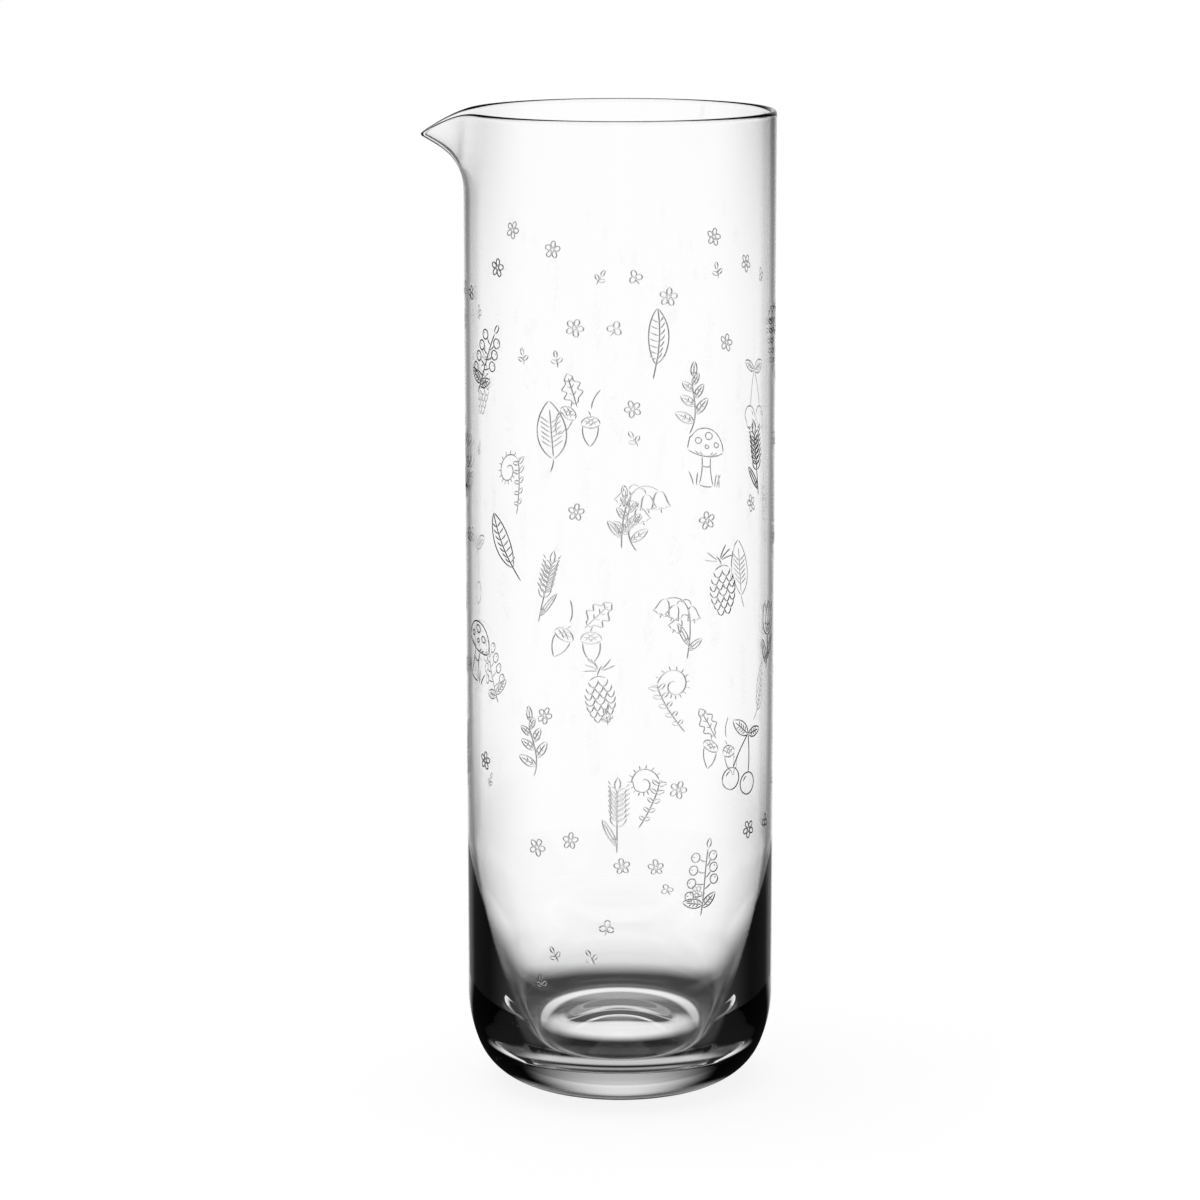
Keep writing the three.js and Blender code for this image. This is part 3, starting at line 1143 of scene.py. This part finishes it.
def add_shaded_table(camera):
    """A glowing disc under the jug with a painted shadow and painted gathered light, which only the glass
    sees. It turns with the camera, as the tent does.
    """
    mesh = bpy.data.meshes.new("painted_shade_and_light_table")
    shape = bmesh.new()
    bmesh.ops.create_circle(shape, cap_ends=True, segments=128, radius=SHADED_RADIUS)
    shape.to_mesh(mesh)
    shape.free()
    mesh.materials.append(shaded_table_finish())
    disc = bpy.data.objects.new("painted_shade_and_light_table", mesh)
    bpy.context.scene.collection.objects.link(disc)
    disc.location = (0, 0, -TABLE_DROP / 2)
    turn = disc.constraints.new("COPY_ROTATION")
    turn.target = camera
    turn.use_x = False
    turn.use_y = False
    disc.visible_camera = False
    disc.visible_diffuse = False
    disc.visible_shadow = False


def table_finish(uneven):
    """Pale cloth that the camera sees as white and that still takes the jug's shadow."""
    material, tree = new_tree("pale_table")
    cloth = node(tree, "BsdfDiffuse")
    variation = node(tree, "Group", node_tree=uneven)
    variation.inputs["Scale"].default_value = TABLE_UNEVENNESS
    variation.inputs["Low"].default_value = TABLE_SHADES[0]
    variation.inputs["High"].default_value = TABLE_SHADES[1]
    tree.links.new(variation.outputs["Value"], cloth.inputs["Color"])
    glow = node(tree, "Emission")
    glow.inputs["Color"].default_value = WHITE
    rays = node(tree, "LightPath")
    seen = math_node(tree, "MULTIPLY", rays.outputs["Is Camera Ray"], TABLE_SEEN)
    tree.links.new(seen, glow.inputs["Strength"])
    both = node(tree, "AddShader")
    tree.links.new(cloth.outputs["BSDF"], both.inputs[0])
    tree.links.new(glow.outputs["Emission"], both.inputs[1])
    result = node(tree, "OutputMaterial")
    tree.links.new(both.outputs["Shader"], result.inputs["Surface"])
    return material


def add_table(uneven):
    half = TABLE_SIZE / 2
    mesh = bpy.data.meshes.new("table")
    corners = [(-half, -half, 0), (half, -half, 0), (half, half, 0), (-half, half, 0)]
    mesh.from_pydata(corners, [], [(0, 1, 2, 3)])
    mesh.materials.append(table_finish(uneven))
    table = bpy.data.objects.new("table", mesh)
    table.location = (0, 0, -TABLE_DROP)
    table.visible_transmission = False
    table.visible_glossy = False
    bpy.context.scene.collection.objects.link(table)


def add_light():
    """A dim even sky that the camera sees as white, and one soft light from above."""
    world = bpy.data.worlds.new("studio")
    world.use_nodes = True
    tree = world.node_tree
    tree.nodes.clear()
    rays = node(tree, "LightPath")
    sky = node(tree, "Background")
    sky.inputs["Color"].default_value = WHITE
    strength = ramp_node(tree, rays.outputs["Is Camera Ray"], 0, 1, SKY_LIGHT, SKY_SEEN)
    tree.links.new(strength, sky.inputs["Strength"])
    result = node(tree, "OutputWorld")
    tree.links.new(sky.outputs["Background"], result.inputs["Surface"])
    bpy.context.scene.world = world
    data = bpy.data.lights.new("overhead_light", "SUN")
    data.energy = SUN_STRENGTH
    data.angle = SUN_SPREAD
    lamp = bpy.data.objects.new("overhead_light", data)
    lamp.location = (0, 0, SUN_HEIGHT)
    lamp.rotation_euler = SUN_TILT
    lamp.visible_glossy = False
    lamp.visible_transmission = False
    bpy.context.scene.collection.objects.link(lamp)


uneven_finish = uneven_finish_group()
clear_glass = glass_finish(
    "clear_glass",
    uneven_finish,
    colour=(0.997, 0.998, 0.998, 1),
    scale=9.0,
    low=0.0,
    high=0.006,
    bump=0.02,
)
cut_glass = glass_finish(
    "cut_glass",
    uneven_finish,
    colour=(0.95, 0.955, 0.95, 1),
    scale=900.0,
    low=0.12,
    high=0.3,
    bump=0.1,
)

glass = make_glass("glass_jug")
glass.data.materials.append(clear_glass)
glass.data.materials.append(cut_glass)
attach(glass, "root")
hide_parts("glass_body")

camera = add_camera()
add_tent(camera)
add_shaded_table(camera)
add_table(uneven_finish)
add_light()

# Light passes through many layers of glass, but bounces about inside the thick base only a few times
# before it is lost.
LAYERS_OF_GLASS = 32
BOUNCES_INSIDE = 5
scene = bpy.context.scene
scene.view_settings.view_transform = "Standard"
scene.cycles.max_bounces = LAYERS_OF_GLASS
scene.cycles.transmission_bounces = LAYERS_OF_GLASS
scene.cycles.glossy_bounces = BOUNCES_INSIDE
